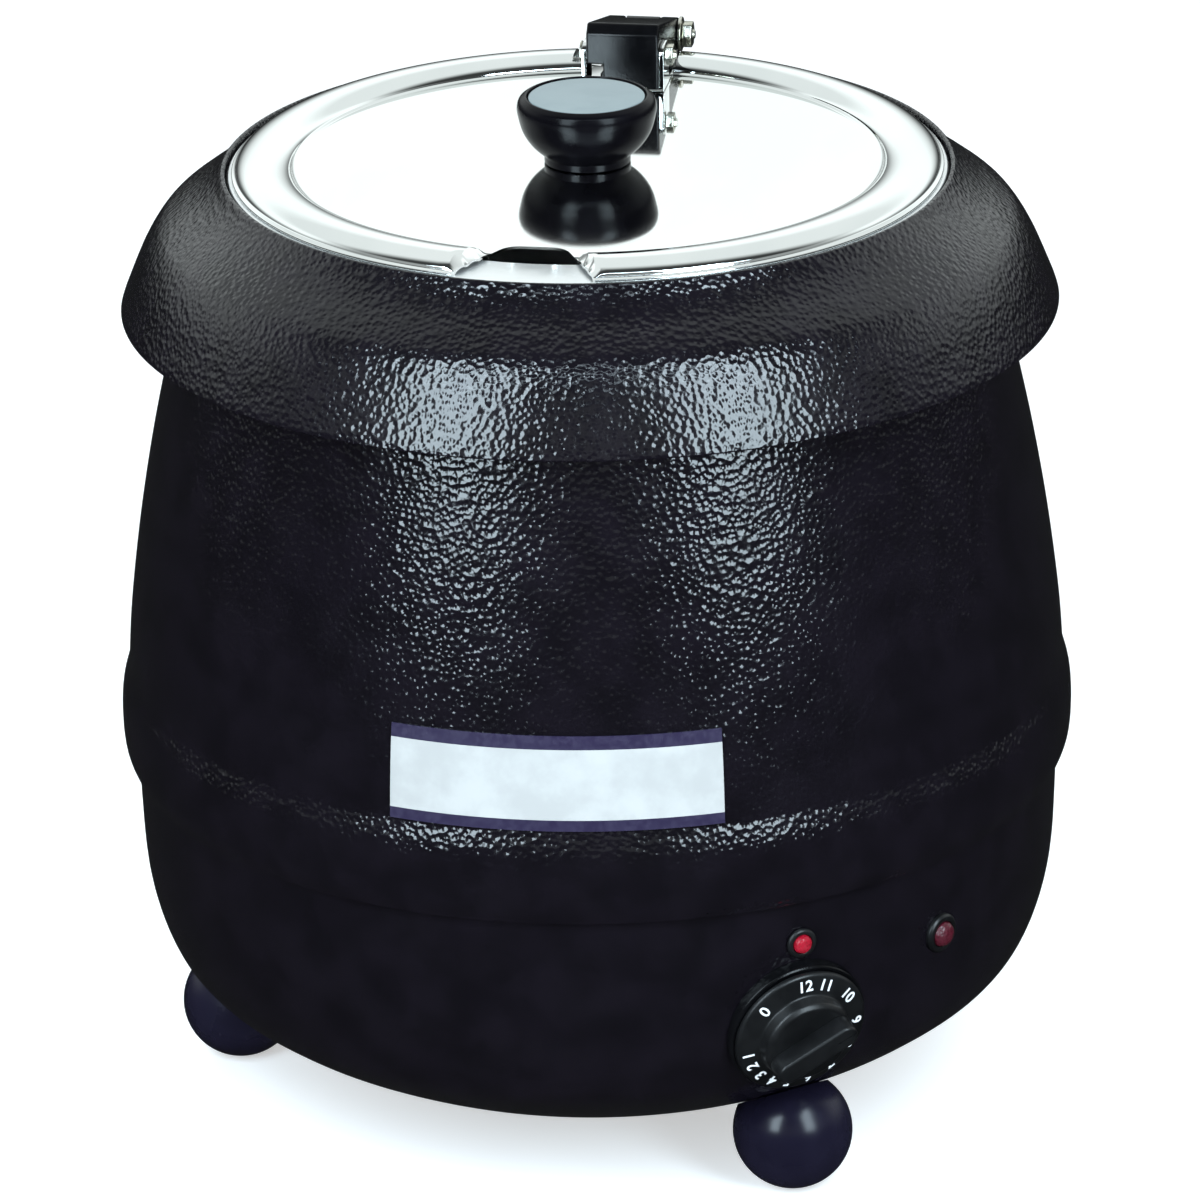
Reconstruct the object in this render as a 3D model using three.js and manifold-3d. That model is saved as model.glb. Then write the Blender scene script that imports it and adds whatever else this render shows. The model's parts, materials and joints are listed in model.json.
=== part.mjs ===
// Free-standing electric soup kettle: a pot-bellied steel body on three ball feet, a water well with
// a lift-out inner pot, and a polished lid on a hinge that clamps on the pot's rim.
// Millimetres, +Z up. The origin is on the kettle's axis at floor level; the ladle notch faces -Y
// and the lid hinge is at +Y. A bearing is measured from -Y towards +X.
import * as THREE from 'three';
import { mergeVertices } from 'three/addons/utils/BufferGeometryUtils.js';
import Module from 'manifold-3d';

const wasm = await Module();
wasm.setup();

// ---- Driving dimensions ----------------------------------------------------------------------

const GAP = 0.3;
const ROUND = 44;
const SHEET = 1.5;

const BELT_RADIUS = 170;
const BELT_LOW = 124.3;
const BELT_TOP = 157.5;
const DECK_TOP = 289.5;
const DECK_HOLE = 121.5;

const BOWL_FLOOR = 19.5;
const BOWL_HOLE = 88;
const BOWL_TOP = 140;

const SEAT = 337;
const COLLAR_BORE = 106.5;
const COLLAR_LIP = 339.9;
const COLLAR_STANDOFF = 0.9;

const POT_RADIUS = 104.4;
const POT_FLANGE = 125.4;
const POT_BOTTOM = 66;
const POT_RIM = 338.6;
const POT_SHEET = 1.2;

const WELL_RADIUS = 119.2;
const WELL_BOTTOM = 44.8;

const LID_TOP = 340.2;
const LID_RADIUS = 124.2;
const LID_SHEET = 0.9;
const BEAD_RADIUS = 112.9;
const BEAD_WIDTH = 19.8;
const BEAD_HEIGHT = 4.6;

const KNOB_RADIUS = 24.4;
const KNOB_TOP = 364.3;

const PIN_Y = 127;
const PIN_Z = 347.2;
const BOLT_Y = 84;
const BOLT_Z = 353;
const ARM_WIDTH = 26;
const ARM_FRONT = 78;
const ARM_TOP = 364.9;

const DIAL = { bearing: 33.8, radius: 161.9, z: 76, tilt: 13.5 };
const POWER_LAMP = { bearing: 33.9, radius: 164.5, z: 108.5, tilt: 1.5 };
const HEAT_LAMP = { bearing: 55.3, radius: 163.9, z: 95, tilt: 4 };
const INLET = { bearing: 213.8, radius: 160.4, z: 70, tilt: 16 };

const LABEL = { from: -15.4, to: 24.2, low: 158.9, high: 192.3, thickness: 0.5 };

const FOOT_RADIUS = 21;
const FOOT_CENTRE = 20.3;
const FOOT_SCREW = 1.6;
const FOOT_CIRCLE = 132;
const FEET = { front: 39.5, left: -80.5, right: 159.5 };

// ---- Materials -------------------------------------------------------------------------------

const paint = (color, roughness, metalness) =>
  new THREE.MeshStandardMaterial({ color, roughness, metalness });
const hammertone = paint(0x1c1a1f, 0.42, 0.3);
const polished = paint(0xdfe3e3, 0.08, 1);
const satinSteel = paint(0xb9bdbd, 0.3, 1);
const glossBlack = paint(0x121116, 0.16, 0);
const mouldedBlack = paint(0x1d1c1f, 0.45, 0);
const boltSteel = paint(0xb5b09a, 0.3, 1);
const redLens = paint(0xd0182c, 0.2, 0);
const labelFilm = paint(0xf4f4f6, 0.35, 0);
const silicone = paint(0xb8402c, 0.7, 0);
const aluminium = paint(0xa9acae, 0.45, 1);
const satinAluminium = paint(0x99b0b9, 0.25, 1);
const insulator = paint(0xd8d2c2, 0.6, 0);

// ---- Helpers ---------------------------------------------------------------------------------

const radians = THREE.MathUtils.degToRad;

function solid(geometry) {
  const plain = geometry.clone();
  plain.deleteAttribute('normal');
  plain.deleteAttribute('uv');
  const merged = mergeVertices(plain, 1e-4);
  const corners = merged.index.array;
  const triangles = [];
  for (let i = 0; i < corners.length; i += 3) {
    const [a, b, c] = corners.slice(i, i + 3);
    if (a !== b && b !== c && c !== a) triangles.push(a, b, c);
  }
  const mesh = new wasm.Mesh({
    numProp: 3,
    vertProperties: merged.attributes.position.array,
    triVerts: Uint32Array.from(triangles),
  });
  return new wasm.Manifold(mesh);
}

function geometryOf(shape) {
  const mesh = shape.getMesh();
  const geometry = new THREE.BufferGeometry();
  geometry.setAttribute('position', new THREE.BufferAttribute(mesh.vertProperties, 3));
  geometry.setIndex(new THREE.BufferAttribute(mesh.triVerts, 1));
  geometry.computeVertexNormals();
  return geometry;
}

function add(parent, name, shape, material) {
  const mesh = new THREE.Mesh(geometryOf(shape), material);
  mesh.name = name;
  parent.add(mesh);
}

// A closed outline of [radius, z] points, anticlockwise, turned about the Z axis.
function revolvedGeometry(outline, sides = ROUND) {
  const points = [...outline, outline[0]].map(([r, z]) => new THREE.Vector2(r, z));
  return new THREE.LatheGeometry(points, sides).rotateX(Math.PI / 2);
}

const revolved = (outline, sides) => solid(revolvedGeometry(outline, sides));

function smooth(points, steps) {
  const curve = new THREE.SplineCurve(points.map(([r, z]) => new THREE.Vector2(r, z)));
  return curve.getPoints(steps).map((p) => [p.x, p.y]);
}

// The curve moved to its left, which is inwards on an outline that climbs.
function inset(curve, distance) {
  return curve.map(([r, z], i) => {
    const [r0, z0] = curve[Math.max(i - 1, 0)];
    const [r1, z1] = curve[Math.min(i + 1, curve.length - 1)];
    const length = Math.hypot(r1 - r0, z1 - z0);
    return [r - (distance * (z1 - z0)) / length, z + (distance * (r1 - r0)) / length];
  });
}

function radiusAt(curve, z) {
  const i = curve.findIndex((point, k) => k > 0 && point[1] >= z);
  const [[r0, z0], [r1, z1]] = [curve[i - 1], curve[i]];
  return r0 + ((r1 - r0) * (z - z0)) / (z1 - z0);
}

function box(x, y, z) {
  const geometry = new THREE.BoxGeometry(x[1] - x[0], y[1] - y[0], z[1] - z[0]);
  geometry.translate((x[0] + x[1]) / 2, (y[0] + y[1]) / 2, (z[0] + z[1]) / 2);
  return solid(geometry);
}

function uprightRod(radius, x, y, z, sides = 16) {
  const geometry = new THREE.CylinderGeometry(radius, radius, z[1] - z[0], sides);
  geometry.rotateX(Math.PI / 2).translate(x, y, (z[0] + z[1]) / 2);
  return solid(geometry);
}

function crossRod(radius, x, y, z, sides = 16) {
  const geometry = new THREE.CylinderGeometry(radius, radius, x[1] - x[0], sides);
  geometry.rotateZ(Math.PI / 2).translate((x[0] + x[1]) / 2, y, z);
  return solid(geometry);
}

// A side view drawn as [y, z] points, extruded across X.
function sideProfile(points, x, bevel = 0) {
  const shape = new THREE.Shape(points.map(([y, z]) => new THREE.Vector2(y, z)));
  const geometry = new THREE.ExtrudeGeometry(shape, {
    depth: x[1] - x[0] - 2 * bevel,
    bevelEnabled: bevel > 0,
    bevelSize: bevel,
    bevelThickness: bevel,
    bevelOffset: -bevel,
    bevelSegments: 1,
  });
  const toWorld = new THREE.Matrix4().makeBasis(
    new THREE.Vector3(0, 1, 0),
    new THREE.Vector3(0, 0, 1),
    new THREE.Vector3(1, 0, 0),
  );
  return solid(geometry.applyMatrix4(toWorld).translate(x[0] + bevel, 0, 0));
}

function circlePoints(centre, radius, fromDegrees, toDegrees, steps) {
  return Array.from({ length: steps + 1 }, (_, i) => {
    const angle = radians(fromDegrees + ((toDegrees - fromDegrees) * i) / steps);
    return [centre[0] + radius * Math.cos(angle), centre[1] + radius * Math.sin(angle)];
  });
}

function onBearing(bearing, radius) {
  return [radius * Math.sin(radians(bearing)), -radius * Math.cos(radians(bearing))];
}

// A group on the bowl's wall: local +Z points out of the wall, tilted down, and local +Y up it.
function wallGroup({ bearing, radius, z, tilt }) {
  const [x, y] = onBearing(bearing, radius);
  const out = new THREE.Vector3(...onBearing(bearing, 1), 0);
  const up = new THREE.Vector3(0, 0, 1);
  const right = new THREE.Vector3().crossVectors(up, out);
  const normal = out.clone().applyAxisAngle(right, radians(tilt));
  const rise = new THREE.Vector3().crossVectors(normal, right);
  const group = new THREE.Group();
  group.setRotationFromMatrix(new THREE.Matrix4().makeBasis(right, rise, normal));
  group.position.set(x, y, z);
  group.updateMatrix();
  return group;
}

// A rod along a wall group's +Z, in the kettle's own frame, for cutting the wall.
function wallHole(group, radius, depth = 12) {
  const geometry = new THREE.CylinderGeometry(radius, radius, 2 * depth, 16);
  return solid(geometry.rotateX(Math.PI / 2).applyMatrix4(group.matrix));
}

// ---- Outlines shared by neighbouring parts ---------------------------------------------------

const beltCurve = smooth(
  [[167.1, BELT_LOW], [169.4, 130.5], [BELT_RADIUS, 140], [169.4, 149.5], [167.2, BELT_TOP]],
  6,
);
const bellyCurve = smooth(
  [[166.9, 158.6], [165.2, 180], [161.2, 210], [155.9, 240], [150.3, 266], [145.2, 287.8]],
  7,
);
const bowlCurve = smooth(
  [
    [97, BOWL_FLOOR], [112.5, 24.9], [131.4, 35], [142.3, 42.4], [151.2, 50.2],
    [157, 60], [161.4, 74], [163.7, 90], [164.7, 116],
  ],
  10,
);
const bowlOutside = [[BOWL_HOLE, BOWL_FLOOR], ...bowlCurve, [164.7, BOWL_TOP]];

// Everything inside the bowl's outer face, and a clearance beyond it.
function bowlVolume(clearance) {
  const wall = bowlOutside.map(([r, z]) => [r + clearance * 0.7, z - clearance * 0.8]);
  return revolvedGeometry([[0, BOWL_FLOOR - clearance], ...wall, [0, BOWL_TOP]]);
}

// ---- Body ------------------------------------------------------------------------------------

function bodyShell() {
  const inside = inset(smooth(bellyCurve, 4), SHEET).reverse();
  const deckUnder = DECK_TOP - SHEET;
  return revolved([
    ...beltCurve, ...bellyCurve, [144, DECK_TOP], [DECK_HOLE, DECK_TOP], [DECK_HOLE, deckUnder],
    [143, deckUnder], ...inside.slice(1), [165.5, BELT_TOP - 1], [165.5, BELT_LOW],
  ]);
}

function collarRing() {
  const outside = smooth(
    [
      [164.5, 291], [162.9, 295.5], [156.7, 310], [150.6, 319.8], [144.5, 325],
      [137.6, 330], [131.8, 335.2], [127.8, COLLAR_LIP],
    ],
    8,
  );
  const under = inset(outside, 1.7).slice(1, -1).reverse();
  const floor = DECK_TOP + COLLAR_STANDOFF;
  const ring = revolved([
    [126.2, floor], [163.9, floor], ...outside, [126.6, COLLAR_LIP], [126.2, SEAT],
    [COLLAR_BORE, SEAT], [COLLAR_BORE, SEAT - 1.6], [127.6, SEAT - 1.6], ...under,
    [162.3, floor + 1.6], [126.2, floor + 1.6],
  ]);
  const clampNotch = box([-14, 14], [100, 134.5], [330.5, 345]);
  return ring.subtract(clampNotch);
}

function nameLabel() {
  const zs = [LABEL.low, ...bellyCurve.map((p) => p[1]), LABEL.high].filter(
    (z) => z >= LABEL.low && z <= LABEL.high,
  );
  const back = zs.map((z) => [radiusAt(bellyCurve, z) + 0.2, z]);
  const face = back.map(([r, z]) => [r + LABEL.thickness, z]);
  const band = revolved([...face, ...back.reverse()]);
  const far = 300;
  const [left, right] = [onBearing(LABEL.from, far), onBearing(LABEL.to, far)];
  const wedge = new THREE.Shape([
    new THREE.Vector2(0, 0),
    new THREE.Vector2(...left),
    new THREE.Vector2(...right),
  ]);
  const sector = new THREE.ExtrudeGeometry(wedge, { depth: 400, bevelEnabled: false });
  return band.intersect(solid(sector));
}

function baseBowl(wallGroups) {
  const inside = inset(bowlCurve, SHEET).reverse();
  let bowl = revolved([
    ...bowlOutside, [164.7 - SHEET, BOWL_TOP], ...inside.slice(0, -1),
    [97, BOWL_FLOOR + SHEET], [BOWL_HOLE, BOWL_FLOOR + SHEET],
  ]);
  for (const [group, radius] of wallGroups) bowl = bowl.subtract(wallHole(group, radius));
  for (const bearing of Object.values(FEET)) {
    const [x, y] = onBearing(bearing, FOOT_CIRCLE);
    bowl = bowl.subtract(uprightRod(FOOT_SCREW + GAP, x, y, [20, 60]));
  }
  for (const [x, y] of baseScrewPlaces()) bowl = bowl.subtract(uprightRod(1.8, x, y, [15, 25]));
  return bowl;
}

const baseScrewPlaces = () => [0, 120, 240].map((bearing) => onBearing(bearing, 92));

function basePlate() {
  let plate = uprightRod(95, 0, 0, [BOWL_FLOOR - 1.5, BOWL_FLOOR - GAP], ROUND);
  for (const [x, y] of baseScrewPlaces()) plate = plate.subtract(uprightRod(1.8, x, y, [15, 25]));
  return plate;
}

function baseScrew([x, y]) {
  const headTop = BOWL_FLOOR - 1.5 - GAP;
  const head = uprightRod(3, x, y, [headTop - 1.6, headTop], 12);
  return head.add(uprightRod(1.5, x, y, [headTop - 0.5, 25], 12));
}

// ---- Feet ------------------------------------------------------------------------------------

function ballFoot(bearing) {
  const [x, y] = onBearing(bearing, FOOT_CIRCLE);
  const ball = new THREE.SphereGeometry(FOOT_RADIUS, 20, 12).rotateX(Math.PI / 2);
  const foot = solid(ball.translate(x, y, FOOT_CENTRE));
  const aboveFloor = box([-200, 200], [-200, 200], [0, 80]);
  const screwHole = uprightRod(FOOT_SCREW + GAP, x, y, [11, 60]);
  return foot.intersect(aboveFloor).subtract(solid(bowlVolume(GAP))).subtract(screwHole);
}

function footScrew(bearing) {
  const [x, y] = onBearing(bearing, FOOT_CIRCLE);
  const head = uprightRod(3.6, x, y, [40.4, 43], 12);
  return head.add(uprightRod(FOOT_SCREW, x, y, [12, 41], 12));
}

// ---- Water well, element and electrics -------------------------------------------------------

function waterWell() {
  const inner = WELL_RADIUS - POT_SHEET;
  const flange = DECK_TOP + 0.9;
  return revolved([
    [0, WELL_BOTTOM], [109, WELL_BOTTOM], [116, WELL_BOTTOM + 3], [WELL_RADIUS, WELL_BOTTOM + 10],
    [WELL_RADIUS, flange], [125.6, flange], [125.6, flange + POT_SHEET], [inner, flange + POT_SHEET],
    [inner, WELL_BOTTOM + 10.5], [115.2, WELL_BOTTOM + 4.2], [108.6, WELL_BOTTOM + POT_SHEET],
    [0, WELL_BOTTOM + POT_SHEET],
  ]);
}

function wellSeal() {
  const low = DECK_TOP + 0.2;
  return revolved([[121.8, low], [125.4, low], [125.4, low + 0.5], [121.8, low + 0.5]], 32);
}

const PLATE_LOW = WELL_BOTTOM - GAP - 3;

function heatingElement() {
  const tube = 3.6;
  const ring = 68;
  const path = new THREE.CatmullRomCurve3(
    circlePoints([0, 0], ring, 100, 440, 24).map(
      ([x, y]) => new THREE.Vector3(x, y, PLATE_LOW - GAP - tube),
    ),
  );
  const section = new THREE.Shape().absarc(0, 0, tube, 0, 2 * Math.PI);
  return solid(
    new THREE.ExtrudeGeometry(section, { steps: 40, curveSegments: 4, extrudePath: path }),
  );
}

function sensorBulb() {
  const bulb = crossRod(3, [-20, 26], -36, 38.2, 12);
  const route = [[24, -36, 38.2], [40, -50, 31.5], [60, -80, 30], [72, -104, 40], [76.3, -113, 59]];
  const path = new THREE.CatmullRomCurve3(route.map((p) => new THREE.Vector3(...p)));
  const section = new THREE.Shape().absarc(0, 0, 1, 0, 2 * Math.PI);
  const capillary = new THREE.ExtrudeGeometry(section, {
    steps: 24,
    curveSegments: 3,
    extrudePath: path,
  });
  return bulb.add(solid(capillary));
}

function thermostat() {
  const body = box([-15, 15], [-17, 17], [-28, -6.5]);
  return body.subtract(uprightRod(3.4, 0, 0, [-11, 0]));
}

const INLET_BODY = 7;

function cordInlet() {
  return revolved([
    [3.6, -7], [INLET_BODY, -7], [INLET_BODY, 0.4], [11, 0.4], [11, 2], [9.6, 3], [3.6, 3],
  ], 20);
}

// ---- Dial and lamps --------------------------------------------------------------------------

const SHAFT_HOLE = 5;
const BEZEL_BODY = 4.6;
const HEAT_SIZE = 1.32;

function dialPlinth(group) {
  const disc = uprightRod(25.6, 0, 0, [-8, 1.2], 32);
  const bowl = bowlVolume(GAP).applyMatrix4(group.matrix.clone().invert());
  return disc.subtract(solid(bowl)).subtract(uprightRod(SHAFT_HOLE, 0, 0, [-10, 5]));
}

function dialKnob() {
  const skirt = revolved([
    [0, 1.6], [24.4, 1.6], [24.4, 3], [23.8, 3.8], [16.6, 5.4], [16, 9.4], [14.6, 10.8], [0, 10.8],
  ], 32);
  const bar = new THREE.Shape();
  const [half, end] = [4.2, 11.5];
  bar.moveTo(-end, -half);
  bar.lineTo(end, -half);
  bar.absarc(end, 0, half, -Math.PI / 2, Math.PI / 2);
  bar.lineTo(-end, half);
  bar.absarc(-end, 0, half, Math.PI / 2, 1.5 * Math.PI);
  const grip = new THREE.ExtrudeGeometry(bar, {
    depth: 7, curveSegments: 6, bevelThickness: 1, bevelSize: 1, bevelOffset: -1, bevelSegments: 1,
  });
  grip.translate(0, 0, 10.2).rotateZ(radians(28));
  return skirt.add(solid(grip)).subtract(uprightRod(3.3, 0, 0, [0, 8.6]));
}

function lampBezel(size) {
  const outline = [
    [0, -9], [BEZEL_BODY, -9], [BEZEL_BODY, 0.3], [5.4, 0.3], [5.4, 1.3], [4.8, 1.9],
    [3.6, 1.9], [3.6, -1], [0, -1],
  ];
  return revolved(outline.map(([r, z]) => [r * size, z]), 16);
}

function lampLens(size) {
  const outline = [[0, -0.7], [3.4, -0.7], [3.4, 2], [2.9, 3], [1.7, 3.7], [0, 3.9]];
  return revolved(outline.map(([r, z]) => [r * size, z]), 16);
}

// ---- Inner pot and its rim clamp -------------------------------------------------------------

function innerPot() {
  const inner = POT_RADIUS - POT_SHEET;
  const corner = 12;
  const turn = (radius) =>
    circlePoints([POT_RADIUS - corner, POT_BOTTOM + corner], radius, -90, 0, 3);
  const flangeUnder = POT_RIM - 1.3;
  return revolved([
    [0, POT_BOTTOM], ...turn(corner), [POT_RADIUS, flangeUnder], [POT_FLANGE, flangeUnder],
    [POT_FLANGE, POT_RIM], [inner + 1.6, POT_RIM], [inner, POT_RIM - 1.4],
    ...turn(corner - POT_SHEET).reverse(), [0, POT_BOTTOM + POT_SHEET],
  ]);
}

const CLAMP_HALF = 12.5;
const CLAMP_SCREW = { x: 9, y: 130 };

function rimClamp() {
  const baseTop = LID_TOP + 0.4;
  const base = box([-CLAMP_HALF, CLAMP_HALF], [107, 133.5], [POT_RIM + GAP, baseTop]);
  const leg = box([-CLAMP_HALF, CLAMP_HALF], [126.3, 133.5], [337.2, baseTop]);
  const knuckle = sideProfile(
    [
      [PIN_Y - 6, baseTop - 1], [PIN_Y + 6, baseTop - 1],
      ...circlePoints([PIN_Y, PIN_Z], 6, 0, 180, 8),
    ],
    [-6, 6],
  );
  let clamp = base.add(leg).add(knuckle).subtract(crossRod(2.3, [-10, 10], PIN_Y, PIN_Z));
  for (const side of [-1, 1]) {
    clamp = clamp.subtract(uprightRod(1.8, side * CLAMP_SCREW.x, CLAMP_SCREW.y, [330, 340]));
  }
  return clamp;
}

function clampJaw() {
  let jaw = box([-CLAMP_HALF, CLAMP_HALF], [107.5, 133.3], [333.4, 336.9]);
  for (const side of [-1, 1]) {
    jaw = jaw.subtract(uprightRod(1.8, side * CLAMP_SCREW.x, CLAMP_SCREW.y, [330, 340]));
  }
  return jaw;
}

function clampScrew(side) {
  const [x, y] = [side * CLAMP_SCREW.x, CLAMP_SCREW.y];
  return uprightRod(3, x, y, [331.1, 333.1], 12).add(uprightRod(1.5, x, y, [332, 339.6], 12));
}

// ---- Lid, knob and hinge ---------------------------------------------------------------------

const RIVETS = { front: [3, 87], rear: [3, 96.5] };

// Half an ellipse over the bead, from its outer foot to its inner foot.
function beadArch(halfWidth, height) {
  return circlePoints([0, 0], 1, 12, 168, 6).map(([x, y]) => [
    BEAD_RADIUS + x * halfWidth,
    LID_TOP - 0.2 + y * height,
  ]);
}

function notchCutter() {
  const [centre, inner, outer] = [-2.4, 92, 130];
  const [innerHalf, outerHalf, fillet] = [9.8, 28.5, 5];
  const outline = new THREE.Shape();
  outline.moveTo(centre - outerHalf, -outer);
  outline.lineTo(centre - innerHalf - 0.49 * fillet, -inner - fillet);
  outline.quadraticCurveTo(centre - innerHalf, -inner, centre - innerHalf + fillet, -inner);
  outline.lineTo(centre + innerHalf - fillet, -inner);
  outline.quadraticCurveTo(
    centre + innerHalf, -inner, centre + innerHalf + 0.49 * fillet, -inner - fillet,
  );
  outline.lineTo(centre + outerHalf, -outer);
  const geometry = new THREE.ExtrudeGeometry(outline, {
    depth: 20, curveSegments: 4, bevelEnabled: false,
  });
  return solid(geometry.translate(0, 0, LID_TOP - 8));
}

function lid() {
  const under = LID_TOP - LID_SHEET;
  const arch = beadArch(BEAD_WIDTH / 2, BEAD_HEIGHT);
  const archUnder = beadArch(BEAD_WIDTH / 2 - LID_SHEET, BEAD_HEIGHT - LID_SHEET).reverse();
  const panelEdge = BEAD_RADIUS - BEAD_WIDTH / 2;
  const full = revolved([
    [0, under], [panelEdge, under], ...archUnder, [LID_RADIUS - 1.2, LID_TOP - 1.3],
    [LID_RADIUS, LID_TOP - 1.3], [LID_RADIUS, LID_TOP - 0.4], [LID_RADIUS - 1, LID_TOP - 0.3],
    ...arch, [panelEdge - 1, LID_TOP], [0, LID_TOP],
  ]);
  const hingeSlot = box([-22.5, 15.6], [103, 135], [LID_TOP - 8, LID_TOP + 12]);
  let sheet = full.subtract(notchCutter()).subtract(hingeSlot);
  sheet = sheet.subtract(uprightRod(2.8, 0, 0, [330, 350]));
  for (const [x, y] of Object.values(RIVETS)) {
    sheet = sheet.subtract(uprightRod(1.8, x, y, [330, 350]));
  }
  return sheet;
}

function knobBody() {
  const bottom = LID_TOP + GAP;
  const cap = smooth(
    [
      [15.1, bottom + 2.6], [19.5, bottom + 6.7], [22.5, bottom + 11.4], [24, bottom + 16.6],
      [KNOB_RADIUS, bottom + 19.8], [23.6, KNOB_TOP - 1.4], [21.6, KNOB_TOP],
    ],
    10,
  );
  return revolved([
    [2.8, bottom], [15.1, bottom], ...cap, [20.9, KNOB_TOP], [20.9, KNOB_TOP - 1.7],
    [0, KNOB_TOP - 1.7], [0, bottom + 12.5], [2.8, bottom + 12.5],
  ], 32);
}

function knobDisc() {
  const low = KNOB_TOP - 1.7 + GAP;
  return revolved([[0, low], [20.5, low], [20.5, low + 0.8], [20, low + 1.1], [0, low + 1.1]], 32);
}

function knobScrew() {
  const washerLow = LID_TOP - 2.2;
  const head = uprightRod(4.5, 0, 0, [washerLow - 3.6, washerLow - 0.2], 12);
  return head.add(uprightRod(2.4, 0, 0, [washerLow - 1, LID_TOP + 12], 12));
}

function knobWasher() {
  const low = LID_TOP - 2.2;
  return revolved([[2.8, low], [8, low], [8, low + 1], [2.8, low + 1]], 16);
}

function rivet([x, y]) {
  const [under, over] = [LID_TOP - LID_SHEET - 0.2, LID_TOP + 2];
  const outline = [
    [0, under - 1.1], [3, under - 1.1], [3, under], [1.5, under],
    [1.5, over], [3, over], [2.4, over + 1.1], [0, over + 1.4],
  ];
  return solid(revolvedGeometry(outline, 12).translate(x, y, 0));
}

function lidBracket() {
  const low = LID_TOP + GAP;
  const top = 357;
  const earFront = 79;
  const earRear = 92;
  let bracket = box([-14.8, 14.8], [earFront, 101.5], [low, low + SHEET]);
  for (const x of [[-14.8, -13.3], [13.3, 14.8]]) {
    const ear = sideProfile(
      [
        [earFront, low], [earRear, low], [earRear, top - 4],
        ...circlePoints([earRear - 4, top - 4], 4, 0, 90, 3),
        ...circlePoints([earFront + 4, top - 4], 4, 90, 180, 3),
      ],
      x,
    );
    bracket = bracket.add(ear);
  }
  bracket = bracket.subtract(crossRod(2.2, [-20, 20], BOLT_Y, BOLT_Z));
  for (const [x, y] of Object.values(RIVETS)) {
    bracket = bracket.subtract(uprightRod(1.8, x, y, [330, 350]));
  }
  return bracket;
}

function hingeArm() {
  const underside = LID_TOP + 4.4;
  const half = ARM_WIDTH / 2;
  const outline = [
    [ARM_FRONT, LID_TOP + 2.2], [ARM_FRONT + 3.5, LID_TOP + 2.2], [ARM_FRONT + 3.5, underside],
    [113, underside],
    ...circlePoints([PIN_Y, PIN_Z], 6, -125, 75.8, 8),
    [ARM_FRONT + 3.5, ARM_TOP], [ARM_FRONT, ARM_TOP - 3.4],
  ];
  const knuckleSlot = box([-6.6, 6.6], [116, 140], [330, 370]);
  const leftRelief = box([-20, -7], [70, 113], [330, 350.2]);
  return sideProfile(outline, [-half, half], 0.7)
    .subtract(knuckleSlot)
    .subtract(leftRelief)
    .subtract(crossRod(2.3, [-20, 20], PIN_Y, PIN_Z))
    .subtract(crossRod(2.3, [-20, 20], BOLT_Y, BOLT_Z));
}

function armBolt() {
  return crossRod(4, [-15.9, -15.1], BOLT_Y, BOLT_Z, 12).add(
    crossRod(1.9, [-15.5, 18.8], BOLT_Y, BOLT_Z, 12),
  );
}

function armNut() {
  return crossRod(4, [15.1, 17.9], BOLT_Y, BOLT_Z, 6).subtract(
    crossRod(2.2, [10, 20], BOLT_Y, BOLT_Z, 12),
  );
}

function hingePin() {
  return crossRod(4.6, [-14.2, -13.3], PIN_Y, PIN_Z, 12).add(
    crossRod(1.9, [-14, 19.2], PIN_Y, PIN_Z, 12),
  );
}

function pinWasher() {
  return crossRod(6.3, [13.3, 14.5], PIN_Y, PIN_Z, 20).subtract(
    crossRod(2.2, [10, 20], PIN_Y, PIN_Z, 12),
  );
}

function pinNut() {
  return crossRod(5, [14.8, 18.4], PIN_Y, PIN_Z, 6).subtract(
    crossRod(2.2, [10, 20], PIN_Y, PIN_Z, 12),
  );
}

// ---- Assembly --------------------------------------------------------------------------------

const kettle = new THREE.Group();
const dialGroup = wallGroup(DIAL);
const powerGroup = wallGroup(POWER_LAMP);
const heatGroup = wallGroup(HEAT_LAMP);
const inletGroup = wallGroup(INLET);

function addBody() {
  add(kettle, 'body_shell', bodyShell(), hammertone);
  add(kettle, 'collar_ring', collarRing(), hammertone);
  const wallHoles = [
    [dialGroup, SHAFT_HOLE],
    [powerGroup, BEZEL_BODY + GAP],
    [heatGroup, BEZEL_BODY * HEAT_SIZE + GAP],
    [inletGroup, INLET_BODY + GAP],
  ];
  add(kettle, 'base_bowl', baseBowl(wallHoles), hammertone);
  add(kettle, 'name_label', nameLabel(), labelFilm);
  add(kettle, 'base_plate', basePlate(), satinSteel);
  baseScrewPlaces().forEach((place, i) => {
    add(kettle, `base_screw_${i + 1}`, baseScrew(place), satinSteel);
  });
  for (const [side, bearing] of Object.entries(FEET)) {
    add(kettle, `foot_${side}`, ballFoot(bearing), glossBlack);
    add(kettle, `foot_screw_${side}`, footScrew(bearing), satinSteel);
  }
}

function addWorks() {
  add(kettle, 'water_well', waterWell(), satinSteel);
  add(kettle, 'well_seal', wellSeal(), silicone);
  add(kettle, 'spreader_plate', uprightRod(92, 0, 0, [PLATE_LOW, PLATE_LOW + 3], ROUND), aluminium);
  add(kettle, 'heating_element', heatingElement(), satinSteel);
  add(kettle, 'overheat_cutout', uprightRod(9, 0, 22, [31.5, PLATE_LOW - GAP], 20), insulator);
  add(kettle, 'terminal_block', box([-23, 23], [75, 93], [22, 33.5]), insulator);
  add(kettle, 'sensor_bulb', sensorBulb(), boltSteel);
}

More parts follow.
